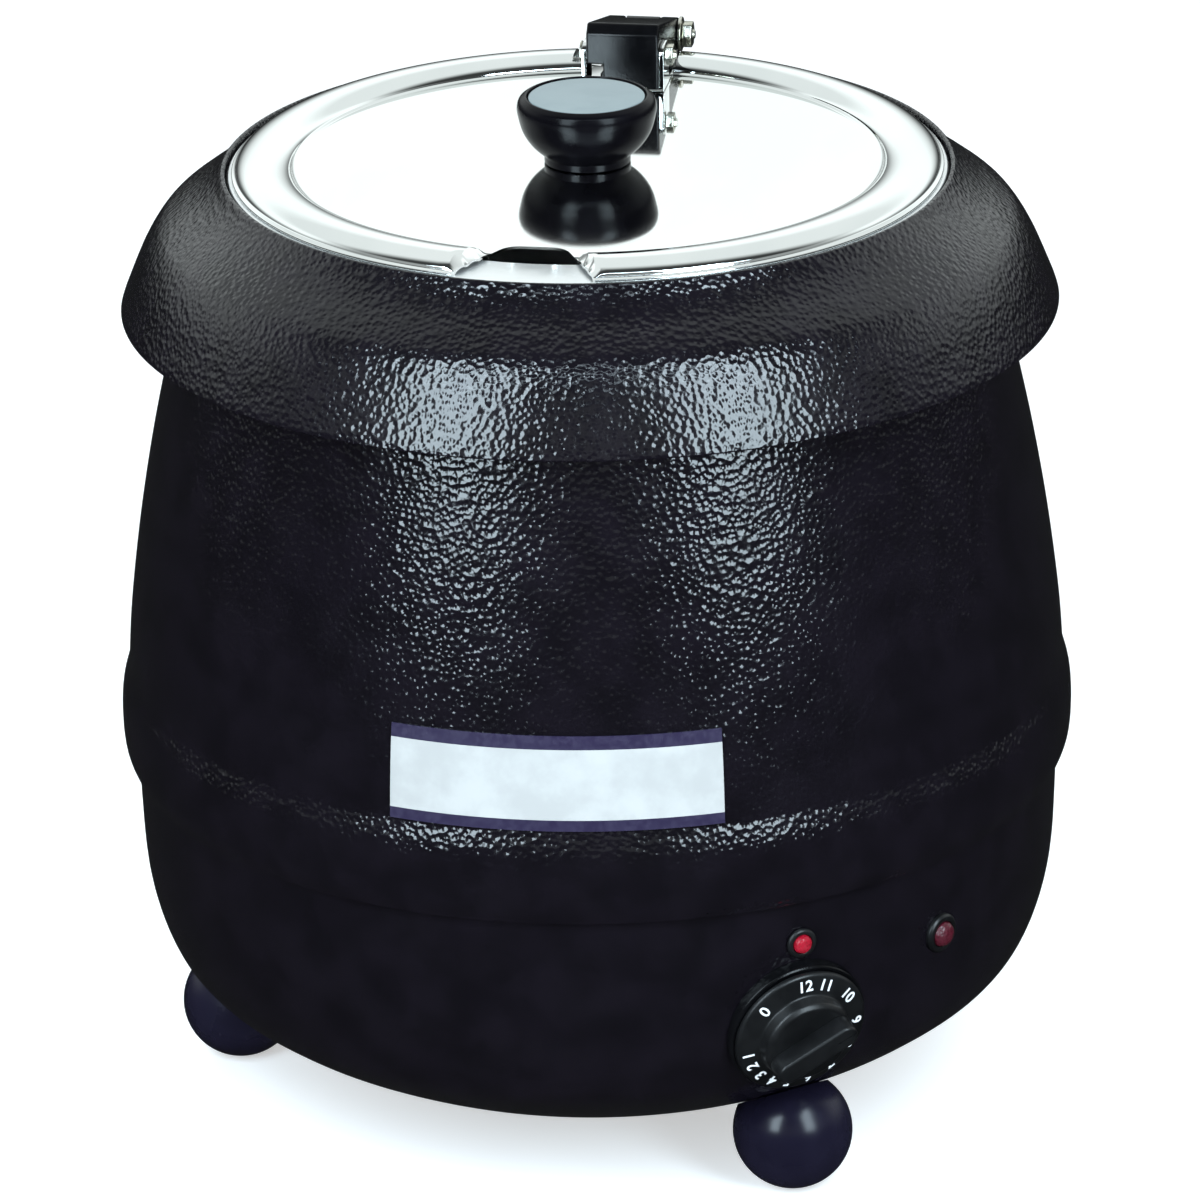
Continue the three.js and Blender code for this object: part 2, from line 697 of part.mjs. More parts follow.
function addWallParts() {
  add(dialGroup, 'dial_plinth', dialPlinth(dialGroup), mouldedBlack);
  add(dialGroup, 'dial_knob', dialKnob(), glossBlack);
  add(dialGroup, 'dial_shaft', uprightRod(2.9, 0, 0, [-10, 8.2]), satinSteel);
  add(dialGroup, 'thermostat', thermostat(), insulator);
  add(powerGroup, 'power_bezel', lampBezel(1), glossBlack);
  add(powerGroup, 'power_lens', lampLens(1), redLens);
  add(heatGroup, 'heat_bezel', lampBezel(HEAT_SIZE), glossBlack);
  add(heatGroup, 'heat_lens', lampLens(HEAT_SIZE), redLens);
  add(inletGroup, 'cord_inlet', cordInlet(), mouldedBlack);
  kettle.add(dialGroup, powerGroup, heatGroup, inletGroup);
}

function addPot() {
  add(kettle, 'inner_pot', innerPot(), polished);
  add(kettle, 'rim_clamp', rimClamp(), mouldedBlack);
  add(kettle, 'clamp_jaw', clampJaw(), mouldedBlack);
  add(kettle, 'clamp_screw_left', clampScrew(-1), boltSteel);
  add(kettle, 'clamp_screw_right', clampScrew(1), boltSteel);
}

function addLid() {
  add(kettle, 'lid', lid(), polished);
  add(kettle, 'knob_body', knobBody(), glossBlack);
  add(kettle, 'knob_disc', knobDisc(), satinAluminium);
  add(kettle, 'knob_screw', knobScrew(), boltSteel);
  add(kettle, 'knob_washer', knobWasher(), boltSteel);
  add(kettle, 'lid_bracket', lidBracket(), polished);
  for (const [end, place] of Object.entries(RIVETS)) {
    add(kettle, `bracket_rivet_${end}`, rivet(place), boltSteel);
  }
  add(kettle, 'hinge_arm', hingeArm(), mouldedBlack);
  add(kettle, 'arm_bolt', armBolt(), boltSteel);
  add(kettle, 'arm_nut', armNut(), boltSteel);
  add(kettle, 'hinge_pin', hingePin(), boltSteel);
  add(kettle, 'pin_washer', pinWasher(), boltSteel);
  add(kettle, 'pin_nut', pinNut(), boltSteel);
}

addBody();
addWorks();
addWallParts();
addPot();
addLid();

export default kettle;
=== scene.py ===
"""The soup kettle's finished surfaces, with its floor, lights and camera.

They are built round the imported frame. Outlines are in millimetres: (radius, height) pairs turned
round an axis, or flat outlines made into prisms. The frame has +Z up, -Y towards the lid's ladle
notch and the hinge at +Y. A bearing is measured from -Y towards +X. Every piece takes its place
and its main sizes from the frame's own nodes.
"""

import json
import math

import bmesh
import bpy
from mathutils import Matrix, Vector


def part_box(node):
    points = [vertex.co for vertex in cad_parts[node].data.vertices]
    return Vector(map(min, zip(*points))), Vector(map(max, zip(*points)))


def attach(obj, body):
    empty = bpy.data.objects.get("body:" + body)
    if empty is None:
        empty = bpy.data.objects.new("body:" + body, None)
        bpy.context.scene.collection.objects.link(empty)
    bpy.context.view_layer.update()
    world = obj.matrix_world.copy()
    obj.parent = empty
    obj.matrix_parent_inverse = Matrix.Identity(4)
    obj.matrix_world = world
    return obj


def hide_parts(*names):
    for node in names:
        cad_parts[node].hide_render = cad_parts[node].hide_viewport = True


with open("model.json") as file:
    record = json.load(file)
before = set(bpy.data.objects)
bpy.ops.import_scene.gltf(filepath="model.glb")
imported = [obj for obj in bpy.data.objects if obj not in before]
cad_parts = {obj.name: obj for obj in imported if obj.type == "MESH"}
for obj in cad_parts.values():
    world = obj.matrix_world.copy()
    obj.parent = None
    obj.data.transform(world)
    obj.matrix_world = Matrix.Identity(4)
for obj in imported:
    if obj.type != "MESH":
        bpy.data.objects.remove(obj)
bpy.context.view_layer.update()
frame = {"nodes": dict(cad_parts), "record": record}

MM = 0.001
SHEET = 1.5
THIN = 1.2
GAP = 0.3
FINE = 192
SCREW_HOLE = 1.8
PIN_HOLE = 2.3
RIM_ZONE = (330, 340)
LAMP_RIM = 1.9
HEAT_SIZE = 1.32
FLIP = Matrix.Rotation(math.pi, 4, "X")

CAMERA_BEARING = 9.5
CAMERA_ELEVATION = 22.05
CAMERA_DISTANCE = 2.5014
CAMERA_LENS = 210
CAMERA_ROLL = -0.985
CAMERA_TARGET = Vector((1.67, 0, 175)) * MM

# ---- Geometry helpers ------------------------------------------------------------------------


def joint(name):
    """A joint's entry in the frame's record."""
    return next(j for j in frame["record"]["behaviour"]["joints"] if j["name"] == name)


def span(node):
    """A node's lowest and highest corners, in millimetres."""
    low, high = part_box(node)
    return Vector(low) / MM, Vector(high) / MM


def middle(node):
    low, high = span(node)
    return (low + high) / 2


def on_bearing(bearing, radius):
    angle = math.radians(bearing)
    return radius * math.sin(angle), -radius * math.cos(angle)


def spline(points, steps):
    """A smooth curve through the points, with the given number of steps in each stretch."""
    points = [Vector(p) for p in points]
    ends = [points[0], *points, points[-1]]
    curve = []
    for i in range(len(points) - 1):
        a, b, c, d = ends[i : i + 4]
        for k in range(steps):
            t = k / steps
            bend = 2 * b + (c - a) * t + (2 * a - 5 * b + 4 * c - d) * t**2
            curve.append((bend + (3 * b - a - 3 * c + d) * t**3) / 2)
    return [*curve, points[-1]]


def inset(curve, distance):
    """The curve moved to its left, which is inwards on an outline that climbs."""
    moved = []
    for i, point in enumerate(curve):
        along = (curve[min(i + 1, len(curve) - 1)] - curve[max(i - 1, 0)]).normalized()
        moved.append(point + Vector((-along.y, along.x)) * distance)
    return moved


def arc(centre, radius, start, end, steps):
    angles = [math.radians(start + (end - start) * k / steps) for k in range(steps + 1)]
    return [Vector(centre) + Vector((math.cos(a), math.sin(a))) * radius for a in angles]


def radius_at(curve, height):
    for low, high in zip(curve, curve[1:]):
        if low.y <= height <= high.y:
            return low.x + (high.x - low.x) * (height - low.y) / (high.y - low.y)
    return curve[-1].x


def softened(outline, radius, steps=4, least=20):
    """The closed outline with each corner of more than `least` degrees rounded."""
    corners = [Vector(p) for p in outline]
    soft = []
    for i, corner in enumerate(corners):
        back = corners[i - 1] - corner
        on = corners[(i + 1) % len(corners)] - corner
        on_axis = corner.x < 1e-6
        if on_axis or 180 - math.degrees(back.angle(on)) < least:
            soft.append(corner)
            continue
        start = corner + back.normalized() * min(radius, 0.45 * back.length)
        end = corner + on.normalized() * min(radius, 0.45 * on.length)
        for k in range(steps + 1):
            t = k / steps
            soft.append(start * (1 - t) ** 2 + corner * 2 * t * (1 - t) + end * t**2)
    return soft


def new_piece(name, bm):
    bmesh.ops.recalc_face_normals(bm, faces=bm.faces)
    mesh = bpy.data.meshes.new(name)
    bm.to_mesh(mesh)
    bm.free()
    piece = bpy.data.objects.new(name, mesh)
    bpy.context.scene.collection.objects.link(piece)
    shade(piece)
    return piece


def shade(piece, angle=32):
    piece.data.shade_smooth()
    piece.data.set_sharp_from_angle(angle=math.radians(angle))


def revolved(name, outline, segments=FINE, place=Matrix()):
    """The closed outline of (radius, height) turned about the Z axis of `place`."""
    bm = bmesh.new()
    rings = []
    for radius, height in outline:
        count = 1 if radius < 1e-6 else segments
        turns = [2 * math.pi * k / segments for k in range(count)]
        corners = [(radius * math.cos(a), radius * math.sin(a), height) for a in turns]
        rings.append([bm.verts.new(place @ (Vector(c) * MM)) for c in corners])
    for low, high in zip(rings, rings[1:] + rings[:1]):
        if len(low) == 1 and len(high) == 1:
            continue
        for k in range(segments):
            n = (k + 1) % segments
            around = [low[k % len(low)], low[n % len(low)], high[n % len(high)], high[k % len(high)]]
            bm.faces.new(dict.fromkeys(around))
    return new_piece(name, bm)


def prism(name, outline, depth, place=Matrix()):
    """A flat outline extruded along the Z axis of `place` between two depths."""
    bm = bmesh.new()
    near, far = (
        [bm.verts.new(place @ (Vector((x, y, z)) * MM)) for x, y in outline] for z in depth
    )
    bm.faces.new(near)
    bm.faces.new(far)
    for k in range(len(near)):
        n = (k + 1) % len(near)
        bm.faces.new((near[k], near[n], far[n], far[k]))
    return new_piece(name, bm)


def block(name, low, high, place=Matrix()):
    outline = [(low[0], low[1]), (high[0], low[1]), (high[0], high[1]), (low[0], high[1])]
    return prism(name, outline, (low[2], high[2]), place)


def bake(piece):
    graph = bpy.context.evaluated_depsgraph_get()
    mesh = bpy.data.meshes.new_from_object(piece.evaluated_get(graph))
    piece.modifiers.clear()
    piece.data = mesh
    shade(piece)


def combine(piece, operation, tools):
    for tool in tools:
        modifier = piece.modifiers.new("combine", "BOOLEAN")
        modifier.operation = operation
        modifier.solver = "EXACT"
        modifier.object = tool
    bake(piece)
    for tool in tools:
        bpy.data.objects.remove(tool)
    return piece


def cut(piece, *tools):
    return combine(piece, "DIFFERENCE", tools)


def fuse(piece, *tools):
    return combine(piece, "UNION", tools)


def bevel(piece, width, segments=3):
    modifier = piece.modifiers.new("bevel", "BEVEL")
    modifier.width = width * MM
    modifier.segments = segments
    modifier.limit_method = "ANGLE"
    modifier.angle_limit = math.radians(30)
    bake(piece)
    return piece


ACROSS = Matrix(((0, 0, 1, 0), (1, 0, 0, 0), (0, 1, 0, 0), (0, 0, 0, 1)))


def across(y, z):
    """A place whose Z axis runs along +X through (y, z)."""
    return Matrix.Translation(Vector((0, y, z)) * MM) @ ACROSS


def upright(x, y, z=0):
    return Matrix.Translation(Vector((x, y, z)) * MM)


def rod(name, radius, low, high, place=Matrix(), segments=32):
    return revolved(name, [(0, low), (radius, low), (radius, high), (0, high)], segments, place)


def wall_place(node, tilt, front):
    """The place of a round fitting on the wall: +Z out of the wall, `front` its foremost height."""
    centre = middle(node)
    out = Vector((centre.x, centre.y, 0)).normalized()
    right = Vector((0, 0, 1)).cross(out)
    normal = Matrix.Rotation(math.radians(tilt), 3, right) @ out
    rise = normal.cross(right)
    corners = [v.co / MM for v in frame["nodes"][node].data.vertices]
    foremost = max(c.dot(normal) for c in corners)
    spread = [c.dot(rise) for c in corners]
    lift = (min(spread) + max(spread)) / 2
    origin = normal * (foremost - front) + rise * lift
    return Matrix.Translation(origin * MM) @ Matrix((right, rise, normal)).transposed().to_4x4()


# ---- Materials -------------------------------------------------------------------------------


class Look:
    """A Principled material whose colour, roughness and bump vary with the place on the object."""

    def __init__(self, name, **settings):
        self.material = bpy.data.materials.new(name)
        self.material.use_nodes = True
        self.tree = self.material.node_tree
        self.shader = self.tree.nodes["Principled BSDF"]
        for socket, value in settings.items():
            self.shader.inputs[socket.replace("_", " ")].default_value = value
        self.place = self.tree.nodes.new("ShaderNodeTexCoord").outputs["Object"]

    def node(self, kind, **inputs):
        node = self.tree.nodes.new(kind)
        for socket, value in inputs.items():
            target = node.inputs[socket.replace("_", " ")]
            if isinstance(value, bpy.types.NodeSocket):
                self.tree.links.new(value, target)
            else:
                target.default_value = value
        return node

    def stretched(self, x, y, z):
        return self.node("ShaderNodeMapping", Vector=self.place, Scale=(x, y, z)).outputs[0]

    def noise(self, scale, detail=2.0, roughness=0.5, place=None):
        node = self.node(
            "ShaderNodeTexNoise",
            Vector=place or self.place,
            Scale=scale,
            Detail=detail,
            Roughness=roughness,
        )
        return node.outputs[0]

    def cells(self, scale, smoothness=0.6):
        node = self.node("ShaderNodeTexVoronoi", Vector=self.place, Scale=scale)
        node.feature = "SMOOTH_F1"
        node.inputs["Smoothness"].default_value = smoothness
        return node.outputs["Distance"]

    def remap(self, source, inputs, outputs):
        node = self.node("ShaderNodeMapRange", Value=source)
        node.interpolation_type = "SMOOTHSTEP"
        low, high = inputs
        node.inputs["From Min"].default_value = low
        node.inputs["From Max"].default_value = high
        node.inputs["To Min"].default_value = outputs[0]
        node.inputs["To Max"].default_value = outputs[1]
        return node.outputs[0]

    def add(self, first, second, share):
        node = self.tree.nodes.new("ShaderNodeMath")
        node.operation = "MULTIPLY_ADD"
        self.tree.links.new(second, node.inputs[0])
        node.inputs[1].default_value = share
        self.tree.links.new(first, node.inputs[2])
        return node.outputs[0]

    def roughness(self, source, inputs, outputs):
        self.tree.links.new(self.remap(source, inputs, outputs), self.shader.inputs["Roughness"])

    def colour(self, source, inputs, dark, light):
        share = self.remap(source, inputs, (0, 1))
        mix = self.tree.nodes.new("ShaderNodeMix")
        mix.data_type = "RGBA"
        self.tree.links.new(share, mix.inputs["Factor"])
        mix.inputs[6].default_value = (*dark, 1)
        mix.inputs[7].default_value = (*light, 1)
        self.tree.links.new(mix.outputs[2], self.shader.inputs["Base Color"])

    def bump(self, source, distance, strength=1.0):
        node = self.node("ShaderNodeBump", Height=source, Distance=distance, Strength=strength)
        self.tree.links.new(node.outputs[0], self.shader.inputs["Normal"])


def hammertone():
    look = Look("hammertone", IOR=1.46)
    cells = look.cells(520)
    swell = look.noise(360, 2.0)
    look.colour(look.noise(60, 4), (0.3, 0.7), (0.0032, 0.0025, 0.0038), (0.005, 0.0038, 0.006))
    look.roughness(look.noise(45, 4), (0.3, 0.7), (0.12, 0.17))
    look.bump(look.add(cells, swell, 0.35), 0.00034)
    return look.material


def polished_steel():
    look = Look("polished_steel", Metallic=1.0)
    smears = look.noise(14, 4, 0.6, look.stretched(1, 0.35, 1))
    look.colour(smears, (0.35, 0.7), (0.80, 0.82, 0.81), (0.88, 0.89, 0.88))
    look.roughness(smears, (0.3, 0.75), (0.03, 0.075))
    look.bump(look.noise(11, 1), 0.00012)
    return look.material


def spun_steel():
    look = Look("spun_steel", Metallic=0.8)
    grain = look.noise(70, 5, 0.65, look.stretched(1, 1, 9))
    look.colour(look.noise(16, 4), (0.35, 0.7), (0.82, 0.82, 0.81), (0.9, 0.9, 0.89))
    look.roughness(grain, (0.3, 0.7), (0.34, 0.46))
    look.bump(grain, 0.00003)
    return look.material


def satin_steel():
    look = Look("satin_steel", Metallic=1.0)
    grain = look.noise(90, 5, 0.7, look.stretched(1, 1, 14))
    look.colour(look.noise(20, 4), (0.35, 0.7), (0.50, 0.49, 0.47), (0.66, 0.66, 0.65))
    look.roughness(grain, (0.3, 0.7), (0.2, 0.38))
    look.bump(grain, 0.00005)
    return look.material


def gloss_black():
    look = Look("gloss_black", IOR=1.52)
    dust = look.noise(700, 4, 0.7)
    look.colour(dust, (0.55, 0.9), (0.003, 0.0028, 0.0055), (0.008, 0.008, 0.012))
    look.roughness(look.noise(50, 4), (0.35, 0.75), (0.07, 0.15))
    look.bump(look.noise(40, 2), 0.00006)
    return look.material


def moulded_black():
    look = Look("moulded_black", IOR=1.27)
    grain = look.noise(2200, 2)
    look.colour(look.noise(120, 4), (0.3, 0.7), (0.0016, 0.0016, 0.002), (0.0032, 0.0031, 0.0037))
    look.roughness(grain, (0.3, 0.7), (0.14, 0.22))
    look.bump(grain, 0.00005)
    return look.material


def fastener_steel():
    look = Look("fastener_steel", Metallic=1.0)
    tone = look.noise(160, 4, 0.65)
    look.colour(tone, (0.35, 0.65), (0.42, 0.41, 0.33), (0.70, 0.69, 0.62))
    look.roughness(tone, (0.3, 0.7), (0.16, 0.34))
    look.bump(look.noise(900, 3), 0.00005)
    return look.material


def red_lens():
    look = Look("red_lens", IOR=1.49)
    ribs = look.cells(900, 0.3)
    look.colour(ribs, (0.1, 0.5), (0.15, 0.0015, 0.006), (0.27, 0.003, 0.014))
    look.roughness(look.noise(300, 2), (0.3, 0.7), (0.2, 0.3))
    look.bump(ribs, 0.0002)
    return look.material


def dull_lens():
    look = Look("dull_lens", IOR=1.49)
    ribs = look.cells(900, 0.3)
    look.colour(ribs, (0.1, 0.5), (0.035, 0.0015, 0.005), (0.06, 0.003, 0.01))
    look.roughness(look.noise(300, 2), (0.3, 0.7), (0.3, 0.4))
    look.bump(ribs, 0.0002)
    return look.material


def satin_black():
    look = Look("satin_black", IOR=1.4)
    tone = look.noise(90, 4)
    look.colour(tone, (0.3, 0.7), (0.003, 0.003, 0.0034), (0.006, 0.006, 0.0066))
    look.roughness(tone, (0.3, 0.7), (0.32, 0.42))
    look.bump(look.noise(900, 2), 0.00003)
    return look.material


def cap_black():
    look = Look("cap_black", IOR=1.17)
    tone = look.noise(70, 4)
    look.colour(tone, (0.3, 0.7), (0.0018, 0.0015, 0.0022), (0.0032, 0.0028, 0.004))
    look.roughness(tone, (0.3, 0.7), (0.17, 0.25))
    look.bump(look.noise(500, 2), 0.00003)
    return look.material


def foot_black():
    look = Look("foot_black", IOR=1.32)
    tone = look.noise(45, 4)
    look.colour(tone, (0.3, 0.7), (0.006, 0.005, 0.012), (0.0095, 0.008, 0.019))
    look.roughness(tone, (0.3, 0.7), (0.2, 0.3))
    look.bump(look.noise(60, 2), 0.00008)
    return look.material


def satin_aluminium():
    look = Look("satin_aluminium", Metallic=1.0)
    tone = look.noise(60, 4)
    look.colour(tone, (0.3, 0.7), (0.235, 0.315, 0.355), (0.30, 0.385, 0.425))
    look.roughness(tone, (0.3, 0.7), (0.16, 0.24))
    look.bump(look.noise(900, 2), 0.00002)
    return look.material


def label_film():
    look = Look("label_film", IOR=1.45)
    cloud = look.noise(55, 4, 0.6)
    look.colour(cloud, (0.35, 0.65), (0.33, 0.325, 0.32), (0.38, 0.375, 0.37))
    look.roughness(cloud, (0.3, 0.7), (0.3, 0.42))
    look.bump(look.noise(60, 2), 0.00006)
    return look.material


def label_stripe():
    look = Look("label_stripe", IOR=1.45)
    ink = look.noise(400, 3)
    look.colour(ink, (0.3, 0.7), (0.016, 0.011, 0.035), (0.022, 0.016, 0.045))
    look.roughness(ink, (0.3, 0.7), (0.32, 0.44))
    return look.material


def silicone():
    look = Look("silicone", IOR=1.42)
    tone = look.noise(150, 3)
    look.colour(tone, (0.3, 0.7), (0.36, 0.07, 0.04), (0.45, 0.10, 0.055))
    look.roughness(tone, (0.3, 0.7), (0.55, 0.75))
    look.bump(look.noise(1500, 2), 0.00004)
    return look.material


def aluminium():
    look = Look("aluminium", Metallic=1.0)
    grain = look.noise(500, 4)
    look.colour(grain, (0.3, 0.7), (0.48, 0.49, 0.50), (0.62, 0.63, 0.64))
    look.roughness(grain, (0.3, 0.7), (0.4, 0.55))
    look.bump(grain, 0.0001)
    return look.material


def insulator():
    look = Look("insulator", IOR=1.5)
    grain = look.noise(300, 4)
    look.colour(grain, (0.3, 0.7), (0.50, 0.46, 0.37), (0.60, 0.56, 0.46))
    look.roughness(grain, (0.3, 0.7), (0.5, 0.7))
    look.bump(grain, 0.00008)
    return look.material


def marking_white():
    look = Look("marking_white", IOR=1.45)
    ink = look.noise(900, 3)
    look.colour(ink, (0.3, 0.7), (0.55, 0.56, 0.58), (0.72, 0.73, 0.74))
    look.roughness(ink, (0.3, 0.7), (0.4, 0.55))
    return look.material


LOOKS = {
    make.__name__: make()
    for make in (
        hammertone, polished_steel, spun_steel, satin_steel, gloss_black, moulded_black,
        fastener_steel, red_lens, dull_lens, satin_black, cap_black, foot_black,
        satin_aluminium, label_film, label_stripe, silicone, aluminium, insulator, marking_white,
    )
}


def settle(piece, slot, body, *nodes, look=None):
    """Give the piece its material and the body it moves with, and hide the CAD nodes it stands for.
    """
    piece.data.materials.clear()
    piece.data.materials.append(LOOKS[look or slot])
    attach(piece, body)
    if nodes:
        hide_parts(*nodes)


# ---- Outlines shared by neighbouring pieces --------------------------------------------------

BODY_LOW, BODY_HIGH = span("body_shell")
BELT = BODY_HIGH.x
BELLY_OUTLINE = spline(
    [
        (BELT - 3.1, BODY_LOW.z + 34.3), (BELT - 4.8, BODY_LOW.z + 55.7),
        (BELT - 8.8, BODY_LOW.z + 85.7), (BELT - 14.1, BODY_LOW.z + 115.7),
        (BELT - 19.7, BODY_LOW.z + 141.7), (BELT - 24.8, BODY_HIGH.z - 1.7),
    ],
    8,
)

BOWL_LOW, BOWL_HIGH = span("base_bowl")
BOWL = BOWL_HIGH.x
BOWL_OUTLINE = spline(
    [
        (BOWL - 67.7, BOWL_LOW.z), (BOWL - 52.2, BOWL_LOW.z + 5.4), (BOWL - 33.3, BOWL_LOW.z + 15.5),
        (BOWL - 22.4, BOWL_LOW.z + 22.9), (BOWL - 13.5, BOWL_LOW.z + 30.7),
        (BOWL - 7.7, BOWL_LOW.z + 40.5), (BOWL - 3.3, BOWL_LOW.z + 54.5),
        (BOWL - 1, BOWL_LOW.z + 70.5), (BOWL, BOWL_LOW.z + 96.5),
    ],
    6,
)


def bowl_volume():
    """Everything inside the bowl's outer face, with a small clearance beyond it."""
    wall = [p + Vector((GAP * 0.7, -GAP * 0.8)) for p in BOWL_OUTLINE]
    top = BOWL_HIGH.z
    return revolved("tool", [(0, BOWL_LOW.z - GAP), *wall, (BOWL + GAP, top), (0, top)])


def dial_place():
    """The place of the dial: +Z out along its shaft."""
    turning = joint("dial_turn")
    normal = Vector(turning["axis"]).normalized()
    right = Vector((0, 0, 1)).cross(normal).normalized()
    rise = normal.cross(right)
    turn = Matrix((right, rise, normal)).transposed().to_4x4()
    return Matrix.Translation(Vector(turning["pos_m"])) @ turn


DIAL = dial_place()
POWER = wall_place("power_bezel", 1.5, LAMP_RIM)
HEAT = wall_place("heat_bezel", 4, LAMP_RIM * HEAT_SIZE)
INLET = wall_place("cord_inlet", 16, 3)

# ---- Body ------------------------------------------------------------------------------------


def make_body_shell():
    low, top = BODY_LOW.z, BODY_HIGH.z
    belt = spline(
        [
            (BELT - 2.9, low), (BELT - 0.6, low + 6.2), (BELT, low + 15.7),
            (BELT - 0.6, low + 25.2), (BELT - 2.8, low + 33.2),
        ],
        6,
    )
    hole = span("well_seal")[1].x - 3.9
    inside = inset(BELLY_OUTLINE, SHEET)[::-1]
    outline = [
        *belt, *BELLY_OUTLINE, (144, top), (hole, top), (hole, top - SHEET), (143, top - SHEET),
        *inside[2:], (BELT - 4.5, low + 32), (BELT - 4.5, low),
    ]
    piece = revolved("body_shell_surface", softened(outline, 1.1, least=30))
    settle(piece, "hammertone", "kettle", "body_shell")


SEAT_LEDGE = 19.7
CLAMP_POCKET = ((-14, 100, 330.5), (14, 134.5, 345))


def make_collar():
    """The flared ring over the body, with the inner ledge that the pot's flange rests on."""
    low, high = span("collar_ring")
    edge = high.x
    outside = spline(
        [
            (edge, low.z + 0.6), (edge - 1.6, low.z + 5.1), (edge - 7.8, low.z + 19.6),
            (edge - 13.9, low.z + 29.4), (edge - 20, low.z + 34.6), (edge - 26.9, low.z + 39.6),
            (edge - 32.7, low.z + 44.8), (edge - 36.7, high.z),
        ],
        6,
    )
    under = inset(outside, 1.7)[2:-2][::-1]
    seat, bore = span("inner_pot")[1].z - 1.6, span("water_well")[1].x + 0.6
    seat_bore = bore - SEAT_LEDGE
    outline = [
        (bore, low.z), (edge - 0.6, low.z), *outside, (bore + 0.4, high.z), (bore, seat),
        (seat_bore, seat), (seat_bore, seat - 1.6), (bore + 1.4, seat - 1.6), *under,
        (edge - 2.2, low.z + 1.6), (bore, low.z + 1.6),
    ]
    piece = revolved("collar_ring_surface", softened(outline, 0.9, least=30))
    cut(piece, block("tool", *CLAMP_POCKET))
    settle(piece, "hammertone", "kettle", "collar_ring")


def make_bowl():
    inside = inset(BOWL_OUTLINE, SHEET)[::-1]
    low, top = BOWL_LOW.z, BOWL_HIGH.z
    flat = BOWL - 67.7
    hole = 88
    outline = [
        (hole, low), *BOWL_OUTLINE, (BOWL, top), (BOWL - SHEET, top), *inside[:-2],
        (flat, low + SHEET), (hole, low + SHEET),
    ]
    piece = revolved("base_bowl_surface", softened(outline, 0.6, least=30))
    holes = [(DIAL, 5), (POWER, 4.9), (HEAT, 6.4), (INLET, 7.3)]
    cut(piece, *[rod("tool", radius, -12, 12, place) for place, radius in holes])
    settle(piece, "hammertone", "kettle", "base_bowl")


def make_base_plate():
    low, high = span("base_plate")
    edge = high.x
    outline = [
        (0, low.z), (30, low.z), (32, low.z + 0.5), (58, low.z + 0.5), (60, low.z), (edge, low.z),
        (edge, high.z), (0, high.z),
    ]
    piece = revolved("base_plate_surface", softened(outline, 0.5), 128)
    settle(piece, "satin_steel", "kettle", "base_plate")


def cross_head(name, radius, depth, place):
    """A domed screw head with a cross recess, from depth 0 outwards along +Z."""
    dome = [(0, 0), (radius, 0), (radius, depth * 0.4), (radius * 0.75, depth * 0.85), (0, depth)]
    piece = revolved(name, softened(dome, 0.4), 40, place)
    arm, half = radius * 0.6, radius * 0.13
    top = depth + 1
    slots = [
        block("tool", (-arm, -half, depth * 0.35), (arm, half, top), place),
        block("tool", (-half, -arm, depth * 0.35), (half, arm, top), place),
    ]
    return cut(piece, *slots)


def make_screw(node, slot, body, head, neck, shank):
    """A screw put in from below: `head` is (radius, depth), the shank starts at height `neck`."""
    low, high = span(node)
    centre = middle(node)
    radius, depth = head
    place = upright(centre.x, centre.y, low.z + depth) @ FLIP
    piece = cross_head(f"{node}_surface", radius, depth, place)
    fuse(piece, rod("tool", shank, low.z + neck, high.z, upright(centre.x, centre.y)))
    settle(piece, slot, body, node)


def make_base_screws():
    for number in (1, 2, 3):
        make_screw(f"base_screw_{number}", "satin_steel", "kettle", (3, 1.6), 1.2, 1.5)


def make_feet():
    for side in ("front", "left", "right"):
        low, high = span(f"foot_{side}")
        centre = middle(f"foot_{side}")
        radius = (high.x - low.x) / 2
        height = radius - 0.7
        flat = math.degrees(math.asin(height / radius))
        ball = [(0, 0), *arc((0, height), radius, -flat, 90, 48)[:-1], (0, height + radius)]
        place = upright(centre.x, centre.y)
        piece = revolved(f"foot_{side}_surface", softened(ball, 1.2), 96, place)
        cut(piece, bowl_volume(), rod("tool", 1.9, 11, 60, place))
        settle(piece, "gloss_black", "kettle", f"foot_{side}", look="foot_black")


LABEL_BEARINGS = (-15.4, 24.2)


def make_label():
    """A thin printed film that follows the belly: a pale field between two dark stripes."""
    low, high = span("name_label")
    left, right = LABEL_BEARINGS
    stripes = (low.z, low.z + 3.9, high.z - 4.7, high.z)
    heights = sorted({*stripes, *[low.z + (high.z - low.z) * k / 16 for k in range(17)]})
    columns = 72
    bm = bmesh.new()
    grid = []
    for proud in (0.2, 0.7):
        sheet = []
        for height in heights:
            radius = radius_at(BELLY_OUTLINE, height) + proud
            row = []
            for k in range(columns + 1):
                x, y = on_bearing(left + (right - left) * k / columns, radius)
                row.append(bm.verts.new(Vector((x, y, height)) * MM))
            sheet.append(row)
        grid.append(sheet)
    back, front = grid
    for r in range(len(heights) - 1):
        inner = stripes[1] - 0.01 < heights[r] < stripes[2] - 0.01
        for k in range(columns):
            for sheet in (back, front):
                corners = (sheet[r][k], sheet[r][k + 1], sheet[r + 1][k + 1], sheet[r + 1][k])
                bm.faces.new(corners).material_index = 0 if inner else 1
        for k in (0, columns):
            side = (back[r][k], front[r][k], front[r + 1][k], back[r + 1][k])
            bm.faces.new(side).material_index = 0 if inner else 1
    for r in (0, -1):
        for k in range(columns):
            edge = (back[r][k], back[r][k + 1], front[r][k + 1], front[r][k])
            bm.faces.new(edge).material_index = 1
    piece = new_piece("name_label_surface", bm)
    striped = [face.material_index for face in piece.data.polygons]
    settle(piece, "label_film", "kettle", "name_label")
    piece.data.materials.append(LOOKS["label_stripe"])
    piece.data.polygons.foreach_set("material_index", striped)


